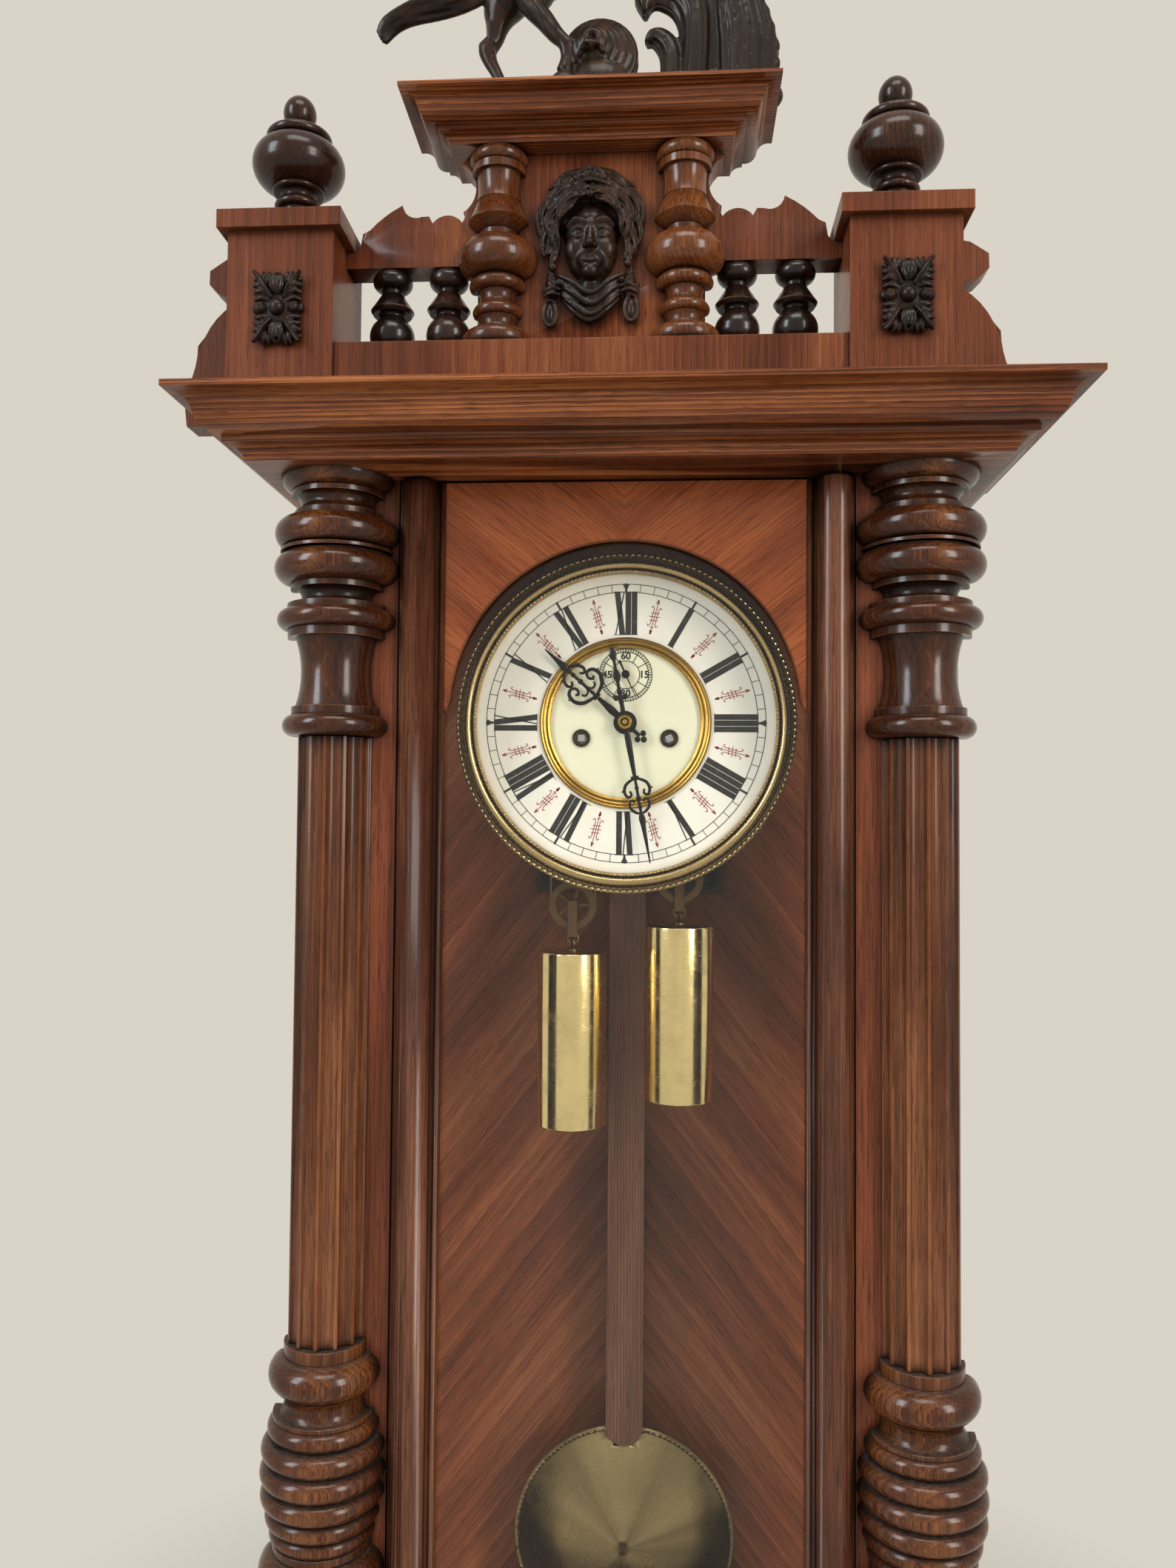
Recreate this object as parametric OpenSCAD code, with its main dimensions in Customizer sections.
// Wall clock with two weights, a wooden pendulum rod and a carved crest.
// Frame: X to the right, -Y towards the viewer, Z up, millimetres. The wall is the plane y = 0, and the
// origin is the middle of the hanger hole. "Out" is the distance in front of the wall.

/* [Case] */
// Width of the case over its sides
case_w = 376; // [368:1:384]
// Distance from the wall to the front face of the case
case_d = 155; // [153:1:160]
// Height of the case between the cornice and the base moulding
case_h = 778; // [770:1:800]
// Thickness of the sides
side_t = 16; // [14:1:18]
// Thickness of the back board
back_t = 12; // [10:1:13]
// Thickness of the front stiles
stile_t = 16; // [14:1:18]
// Width of the front stiles beside the door
stile_w = 56.7; // [54:0.1:60]
// Height of the hanger hole above the underside of the cornice
hanger_rise = 12; // [11:1:16]
// Radius of the hanger hole
hanger_r = 6; // [5:0.5:7]

/* [Cornice and base] */
// Height of the cornice
cornice_h = 33; // [30:1:38]
// How far the cornice grows from its underside to its top
cornice_grow = 35; // [32:1:38]
// How far the underside of the cornice stands in front of the case
soffit_front = 40.5; // [38:0.5:44]
// How far the underside of the cornice stands beside the case
soffit_side = 20; // [18:1:24]
// Height of the base moulding
base_h = 34; // [30:1:40]
// How far the base moulding draws in from top to bottom
base_grow = 26; // [22:1:28]
// Drop of the lower bracket under the base moulding
bracket_h = 118; // [110:2:140]

/* [Columns] */
// Gap between the columns and the edge of the door opening
column_gap = 0.2; // [0.1:0.1:1]
// Height of the capital
capital_h = 150; // [145:1:155]
// Largest radius of the capital
capital_r = 35; // [33:0.5:35.5]
// Height of the turned foot
foot_h = 146; // [140:1:150]
// Largest radius of the turned foot
foot_r = 35.5; // [34:0.5:35.5]
// Radius of the fluted shaft
shaft_r = 21.4; // [19:0.2:23]
// Number of flutes all round
flutes = 12; // [10:2:16]
// Height of the pedestal block
pedestal_h = 140; // [130:1:150]
// Width of the pedestal block
pedestal_w = 61; // [56:1:62]
// Depth of the pedestal block
pedestal_d = 32; // [28:1:36]

/* [Door] */
// Thickness of the door's boards
door_t = 14; // [13:1:15]
// Gap round the door
door_gap = 0.8; // [0.5:0.1:1.5]
// Width of the moulded stiles with their slip
door_stile = 26.6; // [25:0.2:28]
// Radius of the rolled moulding
roll_r = 10.2; // [9:0.2:10.6]
// Width of the slip beside the glass
slip_w = 3; // [2.5:0.5:4]
// Thickness of the glass
glass_t = 2.5; // [2:0.5:3]
// Radius of the arch over the dial
arch_r = 101.5; // [100:0.5:103]
// Radius of the pivot pins
pivot_r = 2.5; // [2:0.1:3]

/* [Dial] */
// Height from the dial's middle to the underside of the cornice
dial_drop = 138; // [136:1:142]
// Outer radius of the bezel
bezel_r = 102.5; // [100:0.5:103]
// Radius of the enamel that shows
enamel_r = 90; // [88:0.5:92]
// Radius of the brass ring round the centre
centre_ring_r = 51.4; // [50:0.2:52]
// Height of the seconds arbor over the centre
seconds_rise = 29.2; // [28.6:0.2:30]
// Length of the minute hand
minute_len = 85.6; // [80:0.5:87]
// Length of the hour hand
hour_len = 65.6; // [60:0.5:70]
// Length of the seconds hand
second_len = 16.5; // [14:0.5:17]

/* [Movement] */
// Distance from the wall to the back plate
plate_out = 57; // [56:0.5:58]
// Clear distance between the plates
plate_gap = 43; // [42:0.5:44]
// Thickness of a plate
plate_t = 3; // [2:0.5:3]
// Width of the plates
plate_w = 122; // [121:1:124]
// Distance of a drum's axis from the centre line
drum_x = 26.5; // [26:0.1:27]
// Drop of the drums' axes under the centre
drum_drop = 9.2; // [8.8:0.2:9.6]
// Radius of the drum
drum_r = 20; // [19.5:0.1:20.2]
// Radius of the gut line
gut_r = 0.6; // [0.5:0.05:0.7]
// Radius of the winding arbors
arbor_r = 3; // [2.6:0.1:3.2]
// Side of the winding squares
square_w = 4.2; // [3.6:0.1:4.4]
// Running clearance round arbors
run = 0.05; // [0.03:0.01:0.08]

/* [Weights and pulleys] */
// Radius of a weight
weight_r = 21.5; // [20:0.5:21.5]
// Length of a weight
weight_h = 108; // [100:1:115]
// Drop of the left pulley under the dial's middle
pulley_drop_left = 112; // [108:1:116]
// Drop of the right pulley under the dial's middle
pulley_drop_right = 95; // [93:1:100]
// Radius from the pulley's axis to the middle of the line
pulley_pitch = 14; // [13.5:0.1:14.2]
// Distance from the pulley's axis to the top of the weight
weight_drop = 29; // [27:1:33]

/* [Pendulum and gong] */
// Height of the pendulum's pivot over the dial's middle
pivot_rise = 49; // [48:0.5:51]
// Distance from the wall to the pendulum's middle
pendulum_out = 40; // [39:0.5:41]
// Free height between the bob and the floor of the case
bob_room = 42; // [38:1:48]
// Radius of the bob
bob_r = 72; // [68:0.5:74]
// Thickness of the bob at its middle
bob_t = 26; // [22:1:27]
// Width of the rod
rod_w = 24; // [20:0.5:26]
// Thickness of the rod
rod_t = 9; // [8:0.5:10]
// Outer radius of the gong coil
gong_r = 43; // [41:0.5:44]
// Radius of the gong's wire
gong_wire = 1.6; // [1.4:0.1:1.8]
// Turns of the gong
gong_turns = 4; // [3:1:5]

/* [Crest] */
// Offset of the crest from the middle of the case
crest_x = -20.4; // [-22:0.2:0]
// Distance from the wall to the front of the crest board
crest_out = 158; // [150:1:160]
// Thickness of the crest board
crest_t = 18; // [15:1:20]
// Height of the plinth rail
plinth_h = 38.5; // [34:0.5:40]
// Distance of the posts from the crest's middle
post_x = 174.2; // [172:0.2:176]
// Width of the posts
post_w = 61; // [58:1:62]
// How far the posts stand in front of the board
post_d = 27; // [24:1:30]
// Height of the posts
post_h = 102; // [98:1:104]
// Height of the post caps
cap_h = 10.5; // [9:0.5:12]
// How far a post cap stands out round its post
cap_lip = 5; // [4:0.5:6]
// Distance of the large turned columns from the crest's middle
crest_column_x = 54; // [52:0.5:56]
// Height of the large turned columns
crest_column_h = 118.5; // [112:0.5:124]
// Largest radius of the large turned columns
crest_column_r = 23.1; // [21:0.1:23.5]
// Largest radius of the balusters
baluster_r = 13.2; // [12:0.1:14]
// Height of the openings for the balusters
baluster_h = 53.5; // [50:0.5:55]
// Height of the top moulding
hood_h = 21.5; // [20:0.5:24]
// How far the top moulding grows from bottom to top
hood_grow = 25.5; // [24:0.5:27]
// Half the width of the top moulding's underside
hood_half = 80.5; // [79:0.5:84]
// Largest radius of the urns
urn_r = 26.9; // [24:0.1:28]
// Height of the urns
urn_h = 85.5; // [78:0.5:90]
// Height of the carved horse with its base
horse_h = 152; // [140:1:160]
// Height of the carved mask
mask_h = 93; // [88:1:95]

/* [Hidden] */
$fn = 64;

soffit_z = -hanger_rise;
cornice_top = soffit_z + cornice_h;
floor_z = soffit_z - case_h;
dial_z = soffit_z - dial_drop;
half_w = case_w / 2;
opening_half = half_w - stile_w;
door_half = opening_half - door_gap;
column_x = opening_half + column_gap + max(foot_r, capital_r);
door_top = soffit_z - 2 * door_gap;
door_low = floor_z + 2 * door_gap;
door_back = case_d - door_t;
sight_half = door_half - door_stile;
roll_x = door_half - roll_r - 1;
sight_top = dial_z + arch_r + 1.5;
sight_low = door_low + door_stile;
rebate = 4;
glass_front = case_d - 6;
floor_t = 12;
pivot_x = roll_x + 2;
pivot_out = case_d + 2;
pivot_len = 10;
leaf_t = 2;
soffit_out = case_d + soffit_front;
soffit_half = half_w + soffit_side;
base_out = case_d + 46;
base_half = half_w + 26;
base_low = floor_z - base_h;
bracket_low = base_low - bracket_h;

plate_in = plate_out + plate_t;
front_in = plate_in + plate_gap;
front_face = front_in + plate_t;
plate_low = dial_z - 65;
plate_top = dial_z + 72;
drum_z = dial_z - drum_drop;
line_r = drum_r + gut_r + 0.4;
line_x = drum_x + line_r;
pulley_x = line_x - pulley_pitch;
line_out = plate_in + 22;
dial_back = front_face + 10;
dial_front = dial_back + 3;
seconds_z = dial_z + seconds_rise;
pallet_z = dial_z + pivot_rise;
pallet_out = plate_in + 6;
bob_z = floor_z + bob_room + bob_r;
bracket_x = plate_w / 2 - 4;
pillar_x = plate_w / 2 - 8;
pillar_z = [plate_low + 8, plate_top - 8];
line_low = plate_low + 12;
intermediate_at = [0, dial_z] + 21.2 * [cos(-91.5), sin(-91.5)];
third_at = [13.5, dial_z + 17.3];
minute_at = [0, dial_z - 14.4];
hammer_at = [40, dial_z + 34];
crest_z = cornice_top;
opening_low = crest_z + plinth_h;
opening_top = opening_low + baluster_h;
hood_z = opening_low + crest_column_h;
hood_top = hood_z + hood_h;
hood_out = crest_out + 13;
hood_back = crest_out - crest_t - 10;
post_top = crest_z + post_h;
post_in = post_x - post_w / 2;
post_end = post_x + post_w / 2;
gallery_x = 65.8;

// Extrudes a front view outline, drawn as [x, z], between two distances from the wall
module slab(out0, out1) translate([0, -out0, 0]) rotate([90, 0, 0]) linear_extrude(out1 - out0) children();

// Extrudes a side view outline, drawn as [out, z], between two x positions
module run_x(x0, x1) translate([x0, 0, 0]) rotate([90, 0, -90]) mirror([0, 0, 1]) linear_extrude(x1 - x0) children();

// A round bar along the out direction
module pin(x, z, out0, out1, r) slab(out0, out1) translate([x, z]) circle(r);

// A box given by its x, out and z ranges
module block(x, out, z) translate([x[0], -out[1], z[0]]) cube([x[1] - x[0], out[1] - out[0], z[1] - z[0]]);

// Both a shape and its mirror image left of the middle
module pair() {
    children();
    mirror([1, 0, 0]) children();
}

// Points of the arc from a to b that bulges by s to the left of the way from a to b
function bow(a, b, s, n = 8) =
    let (c = norm(b - a), r = (c * c / 4 + s * s) / (2 * s), m = (a + b) / 2, u = (b - a) / c)
    let (q = m + [u[1], -u[0]] * (r - s), half = asin(min(1, c / (2 * abs(r)))))
    let (a0 = atan2(a[1] - q[1], a[0] - q[0]))
    [for (i = [0:n]) q + abs(r) * [cos(a0 - sign(s) * 2 * half * i / n), sin(a0 - sign(s) * 2 * half * i / n)]];

// A half outline and its mirror image, as one closed list
function mirrored(points) = concat(points, [for (i = [len(points) - 1:-1:0]) [-points[i][0], points[i][1]]]);

// Height of the first rows of a turning
function stacked(rows, count) = count == 0 ? 0 : rows[count - 1][1] + stacked(rows, count - 1);

// Rounded to hundredths, so that the members of a turning meet without a slit
function hundredths(x) = round(100 * x) / 100;

// The arc of a waist crosses the flat ends a hair off the corner, and not in it
hair = 0.02;

// One member of a turning: a plain ring, a half round bead, a swelling, a waist, a cone or a quarter round
module member(kind, h, edge, mid) {
    s = abs(mid - edge) - (kind == "waist" ? hair : 0);
    r = s > 0 ? (h * h / 4 + s * s) / (2 * s) : 0;
    if (kind == "ring") square([edge, h]);
    if (kind == "cone") polygon([[0, 0], [edge, 0], [mid, h], [0, h]]);
    if (kind == "bead") {
        square([edge - h / 2, h]);
        translate([edge - h / 2, h / 2]) circle(d = h);
    }
    if (kind == "ovolo") {
        square([edge - h, h]);
        intersection() {
            translate([edge - h, h]) circle(h);
            square([edge, h]);
        }
    }
    if (kind == "swell") {
        if (mid > r) square([mid - r, h]);
        intersection() {
            translate([mid - r, h / 2]) circle(r);
            square([mid, h]);
        }
    }
    if (kind == "waist") difference() {
        square([edge, h]);
        translate([mid + r, h / 2]) circle(r);
    }
}

// A turned piece standing on z = 0. Rows are [kind, share of the height, share of the radius, same at the middle].
module turned(rows, h, r, angle = 360) {
    k = h / stacked(rows, len(rows));
    levels = [for (i = [0:len(rows)]) hundredths(k * stacked(rows, i))];
    rotate_extrude(angle = angle) union() {
        square([r * 0.1, h]);
        for (i = [0:len(rows) - 1])
            translate([0, levels[i]])
                member(rows[i][0], levels[i + 1] - levels[i], r * rows[i][2],
                    r * (len(rows[i]) > 3 ? rows[i][3] : rows[i][2]));
    }
}

// A bent tube of oval rings. Rows are [x, out, z, half height, half thickness].
module limb(rows, sides = 8) {
    last = len(rows) - 1;
    points = [for (i = [0:last])
        let (a = rows[max(i - 1, 0)], b = rows[min(i + 1, last)], t = [b[0] - a[0], b[2] - a[2]], u = t / norm(t))
        for (k = [0:sides - 1])
            let (c = rows[i][3] * cos(360 * k / sides), s = rows[i][4] * sin(360 * k / sides))
            [rows[i][0] + c * u[1], -rows[i][1] - s, rows[i][2] - c * u[0]]];
    skin = [for (i = [0:last - 1], k = [0:sides - 1])
        let (p = i * sides + k, q = i * sides + (k + 1) % sides)
        each [[p, q, p + sides], [q, q + sides, p + sides]]];
    ends = [[for (k = [sides - 1:-1:0]) k], [for (k = [0:sides - 1]) last * sides + k]];
    polyhedron(points, concat(skin, ends));
}

// Keeps what lies in front of a given distance from the wall
module front_of(out) intersection() {
    children();
    block([-500, 500], [out, out + 200], [-1500, 1000]);
}

// A toothed wheel with spokes, drawn round its own middle
module wheel(teeth, r, tooth, spokes, hub) {
    difference() {
        circle(r - tooth);
        if (spokes > 0) difference() {
            circle(r - tooth - max(1.6, r * 0.1));
            circle(hub);
            for (i = [0:spokes - 1]) rotate(360 * i / spokes) translate([0, -0.8]) square([r, 1.6]);
        }
    }
    for (i = [0:teeth - 1]) rotate(360 * i / teeth)
        polygon([[r - tooth - 0.3, -r * 1.6 / teeth], [r, -r * 0.7 / teeth], [r, r * 0.7 / teeth], [r - tooth - 0.3, r * 1.6 / teeth]]);
}

capital_rows = [
    ["bead", 12.3, 0.834], ["ring", 4.5, 0.697], ["waist", 39.7, 0.643, 0.554], ["ring", 4.9, 0.769],
    ["bead", 11.6, 0.937], ["ring", 3.3, 0.783], ["waist", 8.3, 0.629, 0.563], ["ring", 3.4, 0.737],
    ["swell", 18.2, 0.714, 0.99], ["ring", 2, 0.9], ["swell", 18.1, 0.714, 0.99], ["ring", 4, 0.691],
    ["waist", 8.5, 0.657, 0.591], ["ring", 3, 0.743], ["ovolo", 8.4, 0.903]
];
foot_rows = [
    ["ring", 7, 0.95], ["bead", 26, 1.0], ["ring", 4, 0.79], ["bead", 9, 0.84], ["bead", 10.5, 0.91],
    ["bead", 12, 0.985], ["bead", 13, 1.0], ["bead", 12.5, 0.985], ["bead", 11, 0.89], ["ring", 2.4, 0.81],
    ["waist", 11, 0.7, 0.637], ["bead", 20.6, 0.89], ["ring", 7, 0.656]
];
crest_column_rows = [
    ["bead", 13, 0.9], ["waist", 7.9, 0.52, 0.46], ["bead", 7.4, 0.63], ["waist", 7.9, 0.5, 0.45],
    ["bead", 8, 0.72], ["swell", 23.3, 0.62, 1.0], ["ring", 5.1, 0.475], ["cone", 5.6, 0.5, 0.76],
    ["cone", 12.5, 0.76, 0.55], ["waist", 15.9, 0.56, 0.53], ["ring", 4.5, 0.675], ["bead", 9.1, 0.745]
];
baluster_rows = [
    ["bead", 4, 0.75], ["ring", 2, 0.55], ["swell", 19.3, 0.6, 1.0], ["waist", 3.3, 0.62, 0.56],
    ["cone", 2.3, 0.86, 0.96], ["cone", 9.8, 0.96, 0.5], ["ring", 2.5, 0.47], ["bead", 10.3, 0.886]
];
urn_rows = [
    ["bead", 6, 0.6], ["cone", 4, 0.54, 0.44], ["ring", 5.8, 0.38], ["bead", 4.6, 0.513],
    ["waist", 5.3, 0.4, 0.35], ["bead", 3.1, 0.57], ["swell", 27.6, 0.56, 1.0], ["bead", 5.9, 0.71],
    ["ring", 1.9, 0.16], ["swell", 21.3, 0.06, 0.357]
];
drop_rows = [
    ["swell", 14, 0.06, 0.42], ["ring", 3, 0.3], ["swell", 24, 0.3, 0.86], ["ring", 4, 0.62],
    ["waist", 12, 0.5, 0.4], ["bead", 7, 0.8], ["ring", 3, 0.6], ["bead", 9, 1.0]
];

// The outline of a moulding that stands out by grow over its height h, drawn outwards from x = 0
function moulding_outline(h, grow) = let (a = [0.25 * grow, 0.24 * h], b = [0.32 * grow, 0.34 * h])
    let (m = [0.64 * grow, 0.62 * h], c = [0.95 * grow, 0.9 * h])
    concat([[0, 0]], bow([0.02 * grow, 0], a, 0.05 * grow, 6), [[0.3 * grow, 0.24 * h], [0.3 * grow, 0.33 * h]],
        bow(b, m, -0.08 * grow, 6), bow(m, c, 0.08 * grow, 6), [[grow, 0.9 * h], [grow, h]]);

// A moulded block, mitred at both front corners, with its underside at z = 0
module moulded_block(half, out0, out1, h, grow) intersection() {
    outline = moulding_outline(h, grow);
    slab(out0, out1 + grow + 1) polygon(mirrored([for (p = outline) [half + p[0], p[1]]]));
    run_x(-half - grow - 1, half + grow + 1) polygon(concat([[out0, h], [out0, 0]], [for (p = outline) [out1 + p[0], p[1]]]));
}

module back_board() color("sienna") difference() {
    slab(0, back_t) translate([-half_w, floor_z]) square([case_w, cornice_top - floor_z]);
    slab(-1, 3) plate_outline(0);
    pin(0, -4, 3, 9, hanger_r + 9);
    for (x = [-1, 1]) pin(x * (half_w - 30), floor_z + 40, -1, back_t + 1, 2.5);
}

module plate_outline(play) translate([-20 - play, -24 - play]) square([40 + 2 * play, 40 + 2 * play]);

module hanger_plate() color("dimgray") difference() {
    slab(0, 3) plate_outline(-0.05);
    pin(0, 0, -1, 4, hanger_r);
    slab(-1, 4) translate([-2.5, 0]) square([5, hanger_r + 6]);
    pin(0, hanger_r + 6, -1, 4, 2.5);
    for (x = [-1, 1], z = [-19, 11]) pin(x * 15, z, -1, 4, 1.8);
}

window_out = [back_t + 26, case_d - stile_t - 24];
window_z = [floor_z + 60, soffit_z - 52];
pane_set = 5;

module side_panel(x0) difference() {
    block([x0, x0 + side_t], [back_t, case_d - stile_t], [floor_z, soffit_z]);
    block([x0 - 1, x0 + side_t + 1], window_out, window_z);
}

module pane_seat(x0, x1, play) block([x0, x1], window_out + [-pane_set, pane_set] - [play, -play], window_z + [-pane_set, pane_set] - [play, -play]);

module side_right() color("saddlebrown") difference() {
    side_panel(half_w - side_t);
    pane_seat(half_w - side_t - 1, half_w - side_t + 4, 0.2);
}

module side_left() color("saddlebrown") mirror([1, 0, 0]) difference() {
    side_panel(half_w - side_t);
    pane_seat(half_w - side_t - 1, half_w - side_t + 4, 0.2);
}

module side_glasses() color("lightblue", 0.4) pair() pane_seat(half_w - side_t + 4 - glass_t, half_w - side_t + 4, 0);

module front_stiles() color("saddlebrown") pair()
    block([opening_half, half_w], [case_d - stile_t, case_d], [floor_z, soffit_z]);

module floor_board() color("sienna")
    block([side_t - half_w, half_w - side_t], [back_t, case_d - stile_t - 1], [floor_z, floor_z + floor_t]);

module pivot_seat(z0, z1, r) translate([pivot_x, -pivot_out, z0]) cylinder(r = r, h = z1 - z0);

module cornice() color("saddlebrown") difference() {
    translate([0, 0, soffit_z]) moulded_block(soffit_half, back_t, soffit_out, cornice_h, cornice_grow);
    pivot_seat(soffit_z - 1, soffit_z + leaf_t, 8);
}

module base_moulding() color("saddlebrown") difference() {
    translate([0, 0, base_low]) moulded_block(base_half - base_grow, 0, base_out - base_grow, base_h, base_grow);
    pivot_seat(floor_z - leaf_t, floor_z + 1, 8);
}

module fluted_shaft(z0, z1) translate([0, 0, z0]) linear_extrude(z1 - z0) difference() {
    circle(shaft_r);
    translate([-shaft_r * 2, 0]) square(shaft_r * 4);
    for (i = [0:flutes - 1]) rotate(360 * (i + 0.5) / flutes) translate([shaft_r + 2, 0]) circle(5.2);
}

shaft_low = floor_z + pedestal_h + foot_h;
shaft_top = soffit_z - capital_h;

module pedestal() difference() {
    block([-pedestal_w / 2, pedestal_w / 2], [0, pedestal_d], [floor_z, floor_z + pedestal_h]);
    block([12 - pedestal_w / 2, pedestal_w / 2 - 12], [pedestal_d - 3, pedestal_d + 1], [floor_z + 14, floor_z + pedestal_h - 14]);
}

module column() {
    translate([0, 0, shaft_top]) rotate(180) turned(capital_rows, capital_h, capital_r, 180);
    fluted_shaft(shaft_low, shaft_top);
    translate([0, 0, shaft_low - foot_h]) rotate(180) turned(foot_rows, foot_h, foot_r, 180);
    pedestal();
    slab(pedestal_d - 3, pedestal_d + 1.5) translate([0, floor_z + pedestal_h / 2]) rosette(16, 8);
}

// A flower of petals round a boss
module rosette(r, petals) {
    circle(r * 0.36);
    for (i = [0:petals - 1]) rotate(360 * i / petals) translate([r * 0.6, 0]) circle(r * 0.28, $fn = 24);
}

module column_right() color("saddlebrown") translate([column_x, -case_d, 0]) column();

module column_left() color("saddlebrown") translate([-column_x, -case_d, 0]) column();

module lower_bracket() color("saddlebrown") {
    slab(0, 20) polygon(mirrored(concat([[0, bracket_low]], bow([14, bracket_low], [60, bracket_low + 42], -9),
        bow([66, bracket_low + 42], [112, bracket_low + 78], 10), [[120, bracket_low + 78]],
        bow([124, bracket_low + 84], [base_half - 40, base_low], -8))));
    block([-120, 120], [20, case_d - 20], [base_low - 24, base_low]);
    block([-96, 96], [20, case_d - 40], [base_low - 42, base_low - 24]);
}

drop_h = 84;

module drop_finials() color("saddlebrown") {
    translate([0, -(case_d - 40) / 2 - 10, base_low - 42 - drop_h]) turned(drop_rows, drop_h, 30);
    for (x = [-1, 1]) translate([x * (base_half - base_grow - 24), -case_d + 8, base_low - 62]) turned(drop_rows, 62, 20);
}

// Right half of the crest board between its posts; heights count from the top of the cornice
function crest_middle() = concat(
    [[post_in, 0], [post_in, 101.8], [138.5, 101.8], [135.5, 105], [134.2, 112.7], [130, 114.8]],
    bow([130, 114.8], [112, 128.5], -1, 4), bow([111, 129.2], [99.3, 122.1], 3.5, 6), [[95.2, 122.2]],
    bow([93, 118], [75.5, 118], -4.5, 8), [[73.6, 122]], bow([75, 124], [76, 153], 8, 10), [[72, 157]]);

// Outline of the right wing and of the small ear above it
function crest_wing() = concat([[post_end, 0], [238, 0]], bow([240, 19], [232, 48], 2, 5), bow([228, 53], [post_end + 0.1, 76], -3, 5),
    [[214.7, 77], [220.4, 79], [225.8, 84.5], [225.6, 92.7], [215.2, 99.6], [post_end, 101.5]]);

module crest_board() color("sienna") translate([crest_x, 0, 0]) {
    slab(crest_out - crest_t, crest_out) translate([0, crest_z]) {
        difference() {
            polygon(mirrored(crest_middle()));
            for (s = [-1, 1]) translate([s * (gallery_x + post_in) / 2, plinth_h + baluster_h / 2])
                square([post_in - gallery_x, baluster_h], center = true);
        }
        for (s = [-1, 1]) scale([s, 1]) polygon(crest_wing());
    }
    block([-post_in, post_in], [crest_out, crest_out + post_d - 3], [crest_z, opening_low]);
}

post_out = [crest_out + post_d - post_w, crest_out + post_d];

module crest_posts() color("saddlebrown") translate([crest_x, 0, 0]) for (s = [-1, 1]) translate([s * post_x, 0, 0]) {
    block([-post_w / 2, post_w / 2], post_out, [crest_z, post_top]);
    block([-post_w / 2 - cap_lip, post_w / 2 + cap_lip], post_out + [-cap_lip, cap_lip], [post_top, post_top + cap_h]);
    slab(post_out[1] - 0.5, post_out[1] + 3) translate([0, crest_z + 56]) {
        circle(6);
        for (a = [0:90:270]) rotate(a) translate([a % 180 == 0 ? 8 : 13, 0]) circle(a % 180 == 0 ? 4.5 : 6.5, $fn = 24);
    }
}

module crest_columns() color("saddlebrown") translate([crest_x, -crest_out, opening_low]) pair()
    translate([crest_column_x, 0, 0]) rotate(180) turned(crest_column_rows, crest_column_h, crest_column_r, 180);

module crest_balusters() color("black") translate([crest_x, -crest_out + crest_t / 2, opening_low]) pair()
    for (share = [0.24, 0.67]) translate([gallery_x + share * (post_in - gallery_x), 0, 0])
        turned(baluster_rows, baluster_h, baluster_r);

module crest_hood() color("saddlebrown") translate([crest_x, 0, hood_z])
    moulded_block(hood_half, hood_back, hood_out, hood_h, hood_grow);

module urn_finials() color("maroon") translate([crest_x, -(post_out[0] + post_out[1]) / 2, post_top + cap_h]) pair()
    translate([post_x, 0, 0]) turned(urn_rows, urn_h, urn_r);

// Generic female mask: oval head, waved hair, diadem, two plaits with drops, and folds under the chin
module mask() color("black") translate([crest_x, -crest_out, opening_low + crest_column_h * 0.48]) scale(mask_h / 93)
    front_of(0) {
        limb([[0, 0, -34, 4, 4], [0, 2, -28, 12, 9], [0, 3, -18, 18, 13], [0, 3, -4, 21, 15], [0, 2, 10, 22, 15],
            [0, 1, 22, 19, 12], [0, 0, 30, 10, 6]], 16);
        limb([[0, 13, -8, 2.4, 3.4], [0, 12.5, -4, 2.2, 4], [0, 12, 6, 1.6, 3.6]], 6);
        for (s = [-1, 1]) {
            limb([[s * 3, 5, 33, 5, 8], [s * 14, 6, 28, 7, 9], [s * 23, 4, 18, 8, 8], [s * 24.6, 2, 4, 5, 6],
                [s * 25.2, 2, -8, 4.4, 5]], 8);
            limb([[s * 24, 3, -2, 4.5, 4], [s * 25, 3, -10, 4.6, 4.3], [s * 26, 3, -16, 5, 4.5], [s * 26, 3, -30, 4.5, 4], [s * 26, 3, -46, 3.6, 4]], 8);
            limb([[s * 22, 3, -22, 3, 4], [s * 12, 4, -36, 4.5, 5], [s * 1, 4, -43, 4, 5]], 8);
        }
        limb([[-16, 10, 30, 2, 4], [-9, 12, 38, 3, 4], [0, 13, 42, 3.6, 4], [9, 12, 38, 3, 4], [16, 10, 30, 2, 4]], 8);
    }

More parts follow.
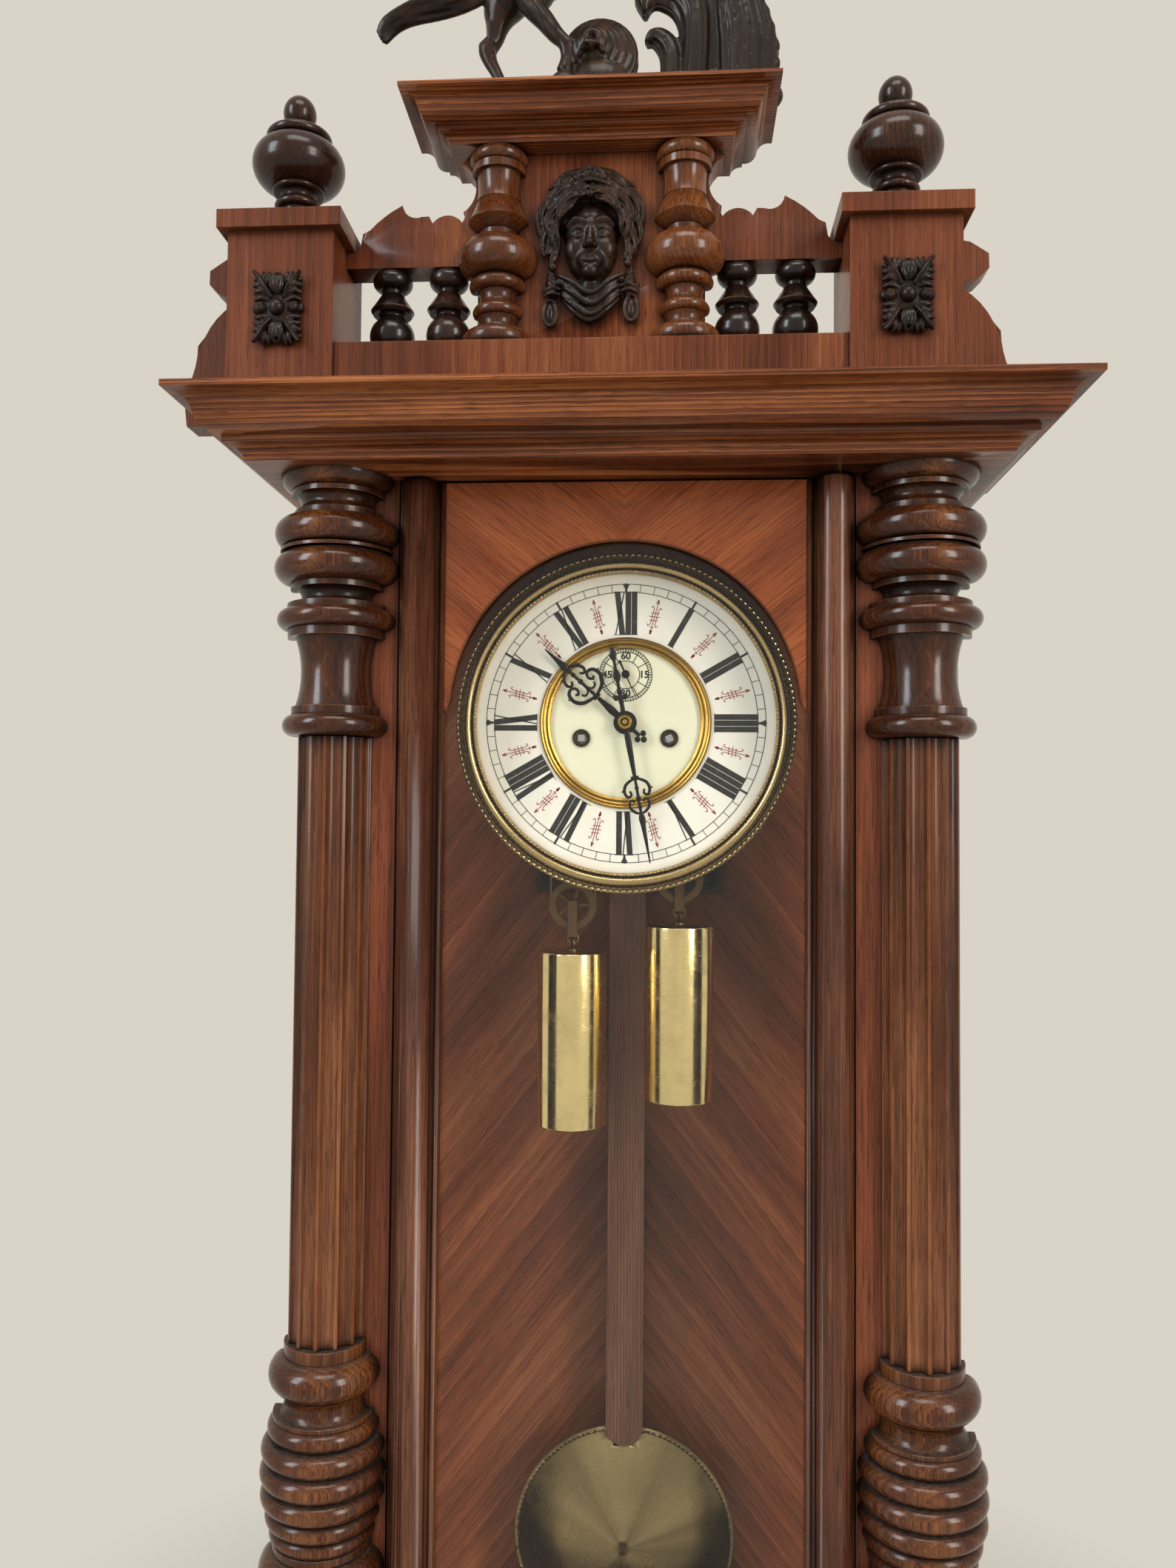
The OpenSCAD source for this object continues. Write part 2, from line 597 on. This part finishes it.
// Rearing horse over a leafy scroll, on a low base
module horse() color("black") translate([crest_x, -crest_out - 7, hood_top]) scale(horse_h / 152) {
    limb([[-92, 0, 6, 6, 16], [-60, 0, 7, 7, 19], [0, 0, 7, 7, 19], [80, 0, 7, 7, 19], [104, 0, 6, 6, 15]], 8);
    limb([[-46, 0, 66, 9, 9], [-36, 0, 74, 17, 14], [-20, 0, 84, 19, 16], [-2, 0, 96, 17, 14], [10, 0, 108, 15, 12],
        [18, 0, 120, 11, 8], [25, 0, 132, 9, 6.5], [31, 0, 140, 8, 6]], 12);
    limb([[22, 0, 143, 7, 5.5], [32, 0, 139, 8, 6], [42, 0, 130, 5.5, 4.5], [49, 0, 122, 4.5, 4]], 8);
    for (s = [-1, 1]) {
        limb([[27, s * 3, 145, 2.2, 1.8], [28, s * 3.5, 152, 0.5, 0.5]], 6);
        limb([[-36, s * 8, 74, 14, 7], [-38 + s * 4, s * 9, 60, 9, 5.5], [-54 + s * 14, s * 9, 46, 5, 4],
            [-42 + s * 16, s * 9, 28, 3.6, 3], [-34 + s * 18, s * 9, 18, 4, 3.5], [-30 + s * 18, s * 9, 11, 5, 4]], 8);
        limb([[4, s * 7, 100, 8, 5], [22 + s * 3, s * 8, 94, 5, 4], [36 + s * 4, s * 8, 98 + s * 5, 3.6, 3],
            [44 + s * 4, s * 8, 86 + s * 6, 2.8, 2.6], [50 + s * 4, s * 8, 80 + s * 6, 3.6, 3]], 8);
    }
    limb([[-44, 0, 72, 5, 5], [-62, 0, 79, 7, 6], [-82, 0, 78, 9, 6], [-102, 0, 69, 9, 6], [-119, 0, 60, 7, 4],
        [-125, 0, 48, 2, 2]], 8);
    limb([[-10, 0, 12, 8, 9], [0, 0, 30, 8, 9], [10, 0, 38, 8, 8], [19, 0, 32, 7, 7], [26, 0, 14, 8, 8]], 8);
    limb([[44, 0, 10, 6, 9], [42, 0, 24, 6, 8], [37, 0, 36, 5, 6], [30, 0, 42, 2, 3]], 8);
    limb([[58, 0, 10, 9, 10], [60, 0, 34, 9, 8], [52, 0, 54, 8, 7], [38, 0, 66, 5, 5], [28, 0, 62, 2, 3]], 8);
    limb([[82, 0, 10, 9, 10], [84, 0, 34, 9, 8], [94, 0, 54, 8, 7], [92, 0, 72, 6, 5], [80, 0, 78, 2, 3]], 8);
    limb([[20, 0, 136, 3, 3], [8, 0, 128, 5, 4], [-2, 0, 112, 5, 4], [-6, 0, 98, 3, 3]], 6);
}

module door_section() {
    block([sight_half + slip_w, door_half], [door_back, case_d], [door_low, door_top]);
    block([sight_half, sight_half + slip_w + 1], [glass_front, case_d], [door_low, door_top]);
    translate([sight_half + slip_w / 2, -case_d, door_low]) cylinder(r = slip_w / 2, h = door_top - door_low);
    translate([roll_x, -case_d, door_low]) cylinder(r = roll_r, h = door_top - door_low);
}

module door_frame() color("saddlebrown") difference() {
    union() {
        pair() door_section();
        block([-sight_half - 1, sight_half + 1], [door_back, glass_front], [sight_top + 8, door_top]);
        block([-door_half, door_half], [door_back, case_d], [door_low, sight_low - slip_w]);
        block([-sight_half - 1, sight_half + 1], [glass_front, case_d], [door_low, sight_low]);
        translate([-sight_half - 1, -case_d, sight_low - slip_w / 2]) rotate([0, 90, 0])
            cylinder(r = slip_w / 2, h = 2 * sight_half + 2);
        translate([-roll_x, -case_d, door_low + door_half - roll_x]) rotate([0, 90, 0]) cylinder(r = roll_r, h = 2 * roll_x);
    }
    block([-sight_half - rebate, sight_half + rebate], [door_back - 1, glass_front], [sight_low - rebate, sight_top + 8]);
    for (z = [door_low, door_top]) pivot_bore(z);
}

module pivot_bore(z) {
    pivot_seat(z - leaf_t, z + leaf_t, pivot_r + 2);
    pivot_seat(z - pivot_len - 2, z + pivot_len + 2, pivot_r + 0.5);
}

module door_spandrel() color("chocolate") slab(glass_front, case_d) difference() {
    translate([-sight_half, dial_z + 4]) square([2 * sight_half, door_top - dial_z - 4]);
    translate([0, dial_z + 1.5]) circle(arch_r);
    translate([0, dial_z + 4]) for (s = [-1, 1]) polygon([[0, -1], [s * (arch_r + 2.2), -1], [s * (arch_r - 0.5), 7], [0, 7]]);
}

module door_glass() color("lightblue", 0.3)
    block([-sight_half - rebate + 0.3, sight_half + rebate - 0.3], [glass_front - glass_t, glass_front],
        [sight_low - rebate + 0.3, sight_top + 7.7]);

module case_pivots() color("goldenrod") {
    pivot_seat(soffit_z, soffit_z + leaf_t, 8);
    pivot_seat(soffit_z - pivot_len, soffit_z + leaf_t / 2, pivot_r);
    pivot_seat(floor_z - leaf_t, floor_z, 8);
    pivot_seat(floor_z - leaf_t / 2, floor_z + pivot_len, pivot_r);
}

module door_pivots() color("goldenrod") for (z = [door_low, door_top - leaf_t]) difference() {
    pivot_seat(z, z + leaf_t, pivot_r + 2);
    pivot_seat(z - 1, z + leaf_t + 1, pivot_r + run);
}

bracket_z = [plate_low - 8, plate_low];

module movement_bracket() color("dimgray") {
    block([-bracket_x - 6, bracket_x + 6], [back_t, back_t + 5], [plate_low - 42, plate_low - 30]);
    for (x = [-1, 1]) translate([x * bracket_x, 0, 0]) {
        block([-6, 6], [back_t, back_t + 5], [plate_low - 42, plate_low]);
        block([-6, 6], [back_t, front_face], bracket_z);
        translate([4, 0, 0]) run_x(-6, -2) polygon([[back_t + 4, plate_low - 38], [back_t + 4, plate_low - 7], [plate_out, plate_low - 7]]);
    }
}

module plate(out0) slab(out0, out0 + plate_t) difference() {
    translate([-plate_w / 2, plate_low]) square([plate_w, plate_top - plate_low]);
    for (x = [-1, 1]) translate([x * drum_x, drum_z]) circle(arbor_r + run);
    translate([0, dial_z]) circle(2 + run);
    for (at = [intermediate_at, third_at, [0, seconds_z], [0, pallet_z], hammer_at]) translate(at) circle(1.5 + run);
    for (x = [-1, 1], z = pillar_z) translate([x * pillar_x, z]) circle(2.5);
}

module plate_back() color("goldenrod") plate(plate_out);

module plate_front() color("goldenrod") {
    plate(front_in);
    pin(minute_at[0], minute_at[1], front_face - 0.5, front_face + 6, 1);
}

module pillars() color("goldenrod") for (x = [-1, 1], z = pillar_z) {
    pin(x * (pulley_x - pulley_pitch), line_low + 2, plate_in, front_in, 2);
    pin(x * pillar_x, z, plate_in, front_in, 4.5);
    pin(x * pillar_x, z, plate_out - 2, front_face + 2, 2.5);
    pin(x * pillar_x, z, front_face, front_face + 2.5, 4);
    pin(x * pillar_x, z, plate_out - 2.5, plate_out, 4);
    pin(x * pillar_x, z, front_face + 2, dial_back, 2);
}

module drum(x, tilt, teeth, r) {
    pin(x, drum_z, plate_out - 1.5, dial_back - 4, arbor_r);
    slab(dial_back - 4, dial_front - 0.5) translate([x, drum_z]) rotate(tilt) square(square_w, center = true);
    pin(x, drum_z, plate_in + 8, front_in - 8, drum_r);
    pin(x, drum_z, plate_in + 6, plate_in + 8, drum_r + 4);
    pin(x, drum_z, front_in - 8, front_in - 6.5, drum_r + 4);
    slab(plate_in + 3.5, plate_in + 6) translate([x, drum_z]) wheel(teeth, r, 1.6, 0, 5);
}

module drum_left() color("goldenrod") drum(-drum_x, 0, 78, 24.1);

module drum_right() color("goldenrod") drum(drum_x, 20, 84, 25.2);

coil_turns = 5;
coil_pitch = 1.9;

// Line wound on a drum, starting beside the stretch that hangs from it
module gut_coil(side) {
    steps = 24;
    limb([for (i = [0:coil_turns * steps]) let (a = (side > 0 ? 0 : 180) + side * 360 * i / steps)
        [side * drum_x + line_r * cos(a), line_out - 1.4 - coil_pitch * i / steps, drum_z + line_r * sin(a), gut_r, gut_r]], 6);
}

echo("gut coil, least gap to itself", coil_pitch - 2 * gut_r);

module gut_coil_left() color("wheat") gut_coil(-1);

module gut_coil_right() color("wheat") gut_coil(1);

// The stretches of line that stay behind the dial, from the drums down
module gut_leads() color("wheat") for (x = [-1, 1])
    translate([x * line_x, -line_out, line_low]) cylinder(r = gut_r, h = drum_z - line_low);

// Line from behind the dial down round the pulley and up to its post
module gut_line(side, drop) translate([side * pulley_x, -line_out, dial_z - drop]) {
    for (x = [-1, 1]) translate([x * pulley_pitch, 0, 0]) cylinder(r = gut_r, h = line_low - dial_z + drop);
    rotate([90, 0, 0]) intersection() {
        rotate_extrude() translate([pulley_pitch, 0]) circle(gut_r);
        translate([-30, -30, -5]) cube([60, 30, 10]);
    }
}

module gut_line_left() color("wheat") gut_line(-1, pulley_drop_left);

module gut_line_right() color("wheat") gut_line(1, pulley_drop_right);

module gear_on(at, out, w, teeth, r, tooth, spokes) slab(out, out + w) translate(at) wheel(teeth, r, tooth, spokes, 4);

module arbor(at, r = 1.5) pin(at[0], at[1], plate_out, front_face, r);

module intermediate_wheel() color("goldenrod") {
    arbor(intermediate_at);
    gear_on(intermediate_at, front_in - 5, 1.5, 60, 18.1, 1.3, 5);
    gear_on(intermediate_at, plate_in + 3, 4, 14, 4.2, 1, 0);
}

module centre_wheel() color("goldenrod") {
    pin(0, dial_z, plate_out, front_face, 2);
    pin(0, dial_z, front_face, dial_front + 9.5, 1.5);
    gear_on([0, dial_z], plate_in + 0.8, 1.5, 80, 19.4, 1.2, 5);
    gear_on([0, dial_z], front_in - 5.5, 2.5, 10, 2.9, 0.7, 0);
}

module third_wheel() color("goldenrod") {
    arbor(third_at);
    gear_on(third_at, front_in - 2.6, 1.2, 64, 15.4, 1.2, 4);
    gear_on(third_at, plate_in + 0.5, 2.2, 8, 2.2, 0.6, 0);
}

escape_r = 14;

module escape_wheel() color("goldenrod") {
    pin(0, seconds_z, plate_out, front_face, 1.5);
    pin(0, seconds_z, front_face, dial_front + 1.5, 1);
    gear_on([0, seconds_z], front_in - 3, 2, 8, 2.2, 0.6, 0);
    slab(pallet_out, pallet_out + 1.2) translate([0, seconds_z]) {
        difference() {
            circle(escape_r - 3);
            difference() {
                circle(escape_r - 5);
                circle(3);
                for (i = [0:3]) rotate(90 * i) translate([0, -0.7]) square([escape_r, 1.4]);
            }
        }
        for (i = [0:29]) rotate(12 * i + 6) polygon([[escape_r - 3.4, -1], [escape_r - 3.4, 0.6], [escape_r, 0.2], [escape_r, -0.1]]);
    }
}

module pallets() color("slategray") {
    pin(0, pallet_z, plate_out - 6, front_face, 1.5);
    slab(pallet_out - 0.3, pallet_out + 1.7) {
        translate([0, pallet_z]) circle(3.2);
        for (s = [-1, 1]) polygon([[0, pallet_z + 2.5], [s * 10, pallet_z - 4], [s * 13.8, seconds_z + 10.6], [s * 11.8, seconds_z + 9.7],
            [s * 8.5, pallet_z - 5.5], [0, pallet_z - 2]]);
    }
    slab(plate_out - 6, plate_out - 4.5) polygon([[-4, pallet_z + 3], [4, pallet_z + 3], [1.6, pallet_z - 58], [-1.6, pallet_z - 58]]);
    pin(0, pallet_z - 56, pendulum_out + rod_t / 2 - 2.5, plate_out - 5, 1.2);
}

module minute_wheel() color("goldenrod") difference() {
    union() {
        gear_on(minute_at, front_face + 1.5, 1.2, 36, 10.5, 1, 4);
        gear_on(minute_at, front_face + 2.6, 2.4, 10, 2.9, 0.8, 0);
    }
    pin(minute_at[0], minute_at[1], front_face, front_face + 6, 1 + run);
}

minute_turn = -169.5;
hour_turn = 47.8;
second_turn = -155.8;

module ring_2d(r, w) difference() {
    circle(r);
    circle(r - w);
}

// A pierced scroll hand pointing up, with its hub at the origin and scrolls from s0 to s1, w wide on each side
module hand_2d(len, hub, s0, s1, w, tail) {
    reach = s1 - s0;
    circle(hub);
    polygon([[-1, 0], [-1, s0 * 0.4], [-2, s0 * 0.75], [-0.6, s0], [0.6, s0], [2, s0 * 0.75], [1, s0 * 0.4], [1, 0]]);
    polygon([[-0.9, s1 - 3], [-0.15, len], [0.15, len], [0.9, s1 - 3]]);
    translate([-0.5, s0 - 1]) square([1, reach]);
    polygon([[-1, 0], [-0.8, -tail * 0.5], [-2, -tail * 0.62], [-0.6, -tail * 0.74], [0, -tail], [0.6, -tail * 0.74],
        [2, -tail * 0.62], [0.8, -tail * 0.5], [1, 0]]);
    for (s = [-1, 1]) {
        translate([s * w * 0.4, s0 + reach * 0.34]) ring_2d(w * 0.42, 0.9);
        translate([s * w * 0.62, s0 + reach * 0.62]) ring_2d(w * 0.36, 0.9);
        translate([s * w * 0.25, s0 + reach * 0.84]) ring_2d(w * 0.27, 0.8);
        translate([s * w * 0.78, s0 + reach * 0.3]) circle(w * 0.13);
        translate([s * w * 0.9, s0 + reach * 0.8]) circle(w * 0.12);
    }
}

module minute_hand() color("black") {
    slab(dial_front + 6.3, dial_front + 7.3) translate([0, dial_z]) rotate(minute_turn) difference() {
        hand_2d(minute_len, 6.8, 33, 56, 11, 45);
        circle(1.5 + run);
    }
    slab(front_face + 1.2, dial_front + 6.3) translate([0, dial_z]) ring_2d(2.7, 1.2 - run);
    slab(front_face + 1.3, front_face + 3) translate([0, dial_z]) difference() {
        wheel(12, 3.7, 0.6, 0, 1);
        circle(2);
    }
    slab(dial_front + 7.3, dial_front + 8.3) translate([0, dial_z]) ring_2d(4, 2.5 - run);
}

module hour_wheel() color("goldenrod") {
    slab(front_face + 3.6, front_face + 4.8) translate([0, dial_z]) difference() {
        wheel(40, 11.3, 1, 4, 5);
        circle(3);
    }
    slab(front_face + 3.6, dial_front + 3) translate([0, dial_z]) ring_2d(3.6, 0.85);
}

module hour_hand() color("black") slab(dial_front + 3, dial_front + 4) translate([0, dial_z]) rotate(hour_turn) difference() {
    hand_2d(hour_len, 6.8, 22, 47, 12.5, 16);
    circle(2.75);
}

module seconds_hand() color("black") {
    pin(0, seconds_z, dial_front + 1.5, dial_front + 2.4, 2.5);
    slab(dial_front + 1.5, dial_front + 2.2) translate([0, seconds_z]) rotate(second_turn)
        polygon([[-0.5, -1], [-0.15, second_len], [0.15, second_len], [0.5, -1], [0.7, -second_len * 0.56],
            [-0.7, -second_len * 0.56]]);
}

module dial() color("ivory") difference() {
    union() {
        pin(0, dial_z, dial_back, dial_front, enamel_r + 2);
        slab(dial_front - 0.5, dial_front + 1.2) translate([0, dial_z]) ring_2d(centre_ring_r, 6);
        for (x = [-1, 1]) slab(dial_front - 1, dial_front + 0.3) translate([x * drum_x, drum_z]) ring_2d(5.3, 1.4);
    }
    pin(0, dial_z, dial_front - 0.8, dial_front + 1, centre_ring_r - 6.2);
    pin(0, dial_z, dial_back - 1, dial_front + 1, 4.2);
    pin(0, seconds_z, dial_back - 1, dial_front + 1, 1.6);
    for (x = [-1, 1]) pin(x * drum_x, drum_z, dial_back - 1, dial_front + 1, 3.9);
}

// Section of the bezel, drawn as [radius, out]
module bezel() color("goldenrod") translate([0, 0, dial_z]) rotate([90, 0, 0]) rotate_extrude() union() {
    w = bezel_r - enamel_r;
    translate([enamel_r, dial_front]) square([w - 1.2, 4]);
    translate([bezel_r - 3, dial_back - 2]) square([3, 8]);
    translate([bezel_r - 1.6, dial_front + 3.6]) circle(1.6);
    translate([enamel_r + w * 0.52, dial_front + 3]) circle(w * 0.32);
    translate([enamel_r + 1.2, dial_front + 3.6]) circle(1.2);
}

module pulley(x, z) difference() {
    union() {
        slab(line_out - 1, line_out + 1) translate([x, z]) difference() {
            circle(pulley_pitch - gut_r - 0.2);
            difference() {
                circle(pulley_pitch - 4);
                circle(3.5);
                for (i = [0:4]) rotate(72 * i) translate([0, -0.9]) square([pulley_pitch, 1.8]);
            }
        }
        for (o = [-2.4, 1]) slab(line_out + o, line_out + o + 1.4) translate([x, z]) ring_2d(pulley_pitch + 1.2, 4.4);
        pin(x, z, line_out - 2.4, line_out + 2.4, 3.5);
    }
    pin(x, z, line_out - 4, line_out + 4, 1.5 + run);
}

module pulley_left() color("goldenrod") pulley(-pulley_x, dial_z - pulley_drop_left);

module pulley_right() color("goldenrod") pulley(pulley_x, dial_z - pulley_drop_right);

// A weight with its hook, and the stirrup that carries the pulley
module weight(x, z) translate([x, -line_out, z]) {
    translate([0, 0, -weight_drop - weight_h]) {
        rotate_extrude() {
            translate([0, 1]) square([weight_r, weight_h - 2]);
            translate([0, 0]) square([weight_r - 1, weight_h]);
            translate([weight_r - 1, 1]) circle(1);
            translate([weight_r - 1, weight_h - 1]) circle(1);
        }
        translate([0, 0, weight_h]) cylinder(r = 3.5, h = 2);
        translate([0, 0, weight_h + 1]) cylinder(r = 1.6, h = 5);
    }
    translate([0, 0, -weight_drop + 8]) rotate([90, 0, 0]) rotate_extrude() translate([3.4, 0]) circle(1.1);
    for (o = [-4.6, 3.4]) block([-3, 3], [o, o + 1.2], [-pulley_pitch - 6, 3]);
    block([-3, 3], [-4.6, 4.6], [-pulley_pitch - 6, -pulley_pitch - 4.4]);
    block([-1.2, 1.2], [-1.2, 1.2], [-pulley_pitch - 9, -pulley_pitch - 5.5]);
    translate([0, 4.6, 0]) rotate([90, 0, 0]) cylinder(r = 1.5, h = 9.2);
}

module weight_left() color("gold") weight(-pulley_x, dial_z - pulley_drop_left);

module weight_right() color("gold") weight(pulley_x, dial_z - pulley_drop_right);

module suspension_cock() color("goldenrod") difference() {
    union() {
        block([-14, 14], [plate_out - 3, plate_out], [pallet_z + 6, pallet_z + 18]);
        block([-5, 5], [pendulum_out - 9, plate_out], [pallet_z + 6, pallet_z + 14]);
        for (out = [pendulum_out - 9, pendulum_out + 5]) block([-5, 5], [out, out + 4], [pallet_z - 5, pallet_z + 14]);
    }
    pin(0, pallet_z, pendulum_out - 10, pendulum_out + 10, 1.5 + run);
}

rod_top = pallet_z - 34;
rod_low = bob_z + bob_r;

module pendulum_rod() color("peru") {
    pin(0, pallet_z, pendulum_out - 8, pendulum_out + 8, 1.5);
    block([-3, 3], [pendulum_out - 4.2, pendulum_out + 4.2], [pallet_z - 6, pallet_z + 3]);
    block([-0.4, 0.4], [pendulum_out - 3.5, pendulum_out + 3.5], [rod_top - 1, pallet_z - 5]);
    difference() {
        slab(pendulum_out - rod_t / 2, pendulum_out + rod_t / 2) {
            translate([-rod_w / 2, rod_low]) square([rod_w, rod_top - rod_low - 4]);
            translate([-rod_w / 2 + 5, rod_low]) square([rod_w - 10, rod_top - rod_low]);
            translate([0, rod_low]) circle(rod_w / 2);
        }
        block([-1.6, 1.6], [pendulum_out, plate_out], [pallet_z - 66, pallet_z - 46]);
    }
    translate([0, -pendulum_out, bob_z - bob_r - 22]) cylinder(r = 2.5, h = 2 * bob_r + 22 - rod_w / 4);
}

module lens(r, t0, t1) intersection() {
    r0 = (r * r + t0 * t0) / (2 * t0);
    r1 = (r * r + t1 * t1) / (2 * t1);
    translate([0, t0 - r0]) circle(r0, $fn = 200);
    translate([0, r1 - t1]) circle(r1, $fn = 200);
    translate([0, -t1]) square([r, t0 + t1]);
}

module pendulum_bob() color("gold") difference() {
    translate([0, -pendulum_out, bob_z]) rotate([90, 0, 0]) rotate_extrude() {
        lens(bob_r - 1, bob_t / 2, bob_t / 2);
        translate([bob_r - 3, -1.5]) square([2, 3]);
        translate([bob_r - 1.5, 0]) circle(1.5);
    }
    slab(pendulum_out - rod_t / 2 - 0.2, pendulum_out + bob_t) {
        translate([-rod_w / 2 - 0.2, rod_low]) square([rod_w + 0.4, bob_r]);
        translate([0, rod_low]) circle(rod_w / 2 + 0.2);
    }
    translate([0, -pendulum_out, bob_z - bob_r - 2]) cylinder(r = 2.6, h = 2 * bob_r);
}

module rating_nut() color("goldenrod") translate([0, -pendulum_out, bob_z - bob_r - 9]) difference() {
    union() {
        linear_extrude(6) wheel(24, 8, 0.8, 0, 3);
        translate([0, 0, 6]) cylinder(r = 5, h = 2.6);
    }
    translate([0, 0, -1]) cylinder(r = 2.55, h = 12);
}

gong_out = back_t + 9;
gong_z = dial_z - 48;
gong_pitch = 6;

// Flat spiral of wire that ends straight up into its block
module gong_coil() color("steelblue") {
    steps = 24;
    spiral = [for (i = [0:gong_turns * steps]) let (r = gong_r - gong_pitch * (gong_turns - i / steps), a = 180 + 360 * i / steps)
        [r * cos(a), gong_out, gong_z + r * sin(a) * -1, gong_wire, gong_wire]];
    limb(concat(spiral, [[-gong_r, gong_out, gong_z + 6, gong_wire, gong_wire]]), 6);
}

echo("gong coil, least gap to itself", gong_pitch - 2 * gong_wire);

module gong_block() color("dimgray") {
    block([-gong_r - 7, gong_pitch - gong_wire - gong_r - 0.6], [back_t, back_t + 14], [gong_z + 6, gong_z + 22]);
    pin(-gong_r, gong_z + 14, back_t + 14, back_t + 16, 3.5);
}

hammer_x = gong_r + 8;

module hammer() color("slategray") {
    pin(hammer_at[0], hammer_at[1], gong_out - 1.5, front_face, 1.5);
    slab(plate_in + 8, plate_in + 10) translate(hammer_at) {
        circle(4);
        rotate(-150) translate([0, -1.2]) square([14, 2.4]);
    }
    slab(gong_out - 1.5, gong_out + 1.5) translate(hammer_at) circle(4);
    slab(gong_out - 1, gong_out + 1) polygon([hammer_at + [-1.5, 0], hammer_at + [1.5, 0], [hammer_x + 1.2, gong_z + 4], [hammer_x - 1.2, gong_z + 4]]);
    translate([hammer_x - 6.5, -gong_out, gong_z]) rotate([0, 90, 0]) cylinder(r = 5, h = 14);
}

back_board();
side_left();
side_right();
side_glasses();
front_stiles();
floor_board();
cornice();
base_moulding();
column_left();
column_right();
hanger_plate();
lower_bracket();
drop_finials();
crest_board();
crest_posts();
crest_columns();
crest_balusters();
crest_hood();
urn_finials();
mask();
horse();
door_frame();
door_spandrel();
door_glass();
case_pivots();
door_pivots();
movement_bracket();
plate_back();
plate_front();
pillars();
drum_left();
drum_right();
gut_coil_left();
gut_coil_right();
gut_line_left();
gut_line_right();
gut_leads();
intermediate_wheel();
centre_wheel();
third_wheel();
escape_wheel();
seconds_hand();
pallets();
minute_wheel();
minute_hand();
hour_wheel();
hour_hand();
dial();
bezel();
pulley_left();
pulley_right();
weight_left();
weight_right();
suspension_cock();
pendulum_rod();
pendulum_bob();
rating_nut();
gong_coil();
gong_block();
hammer();
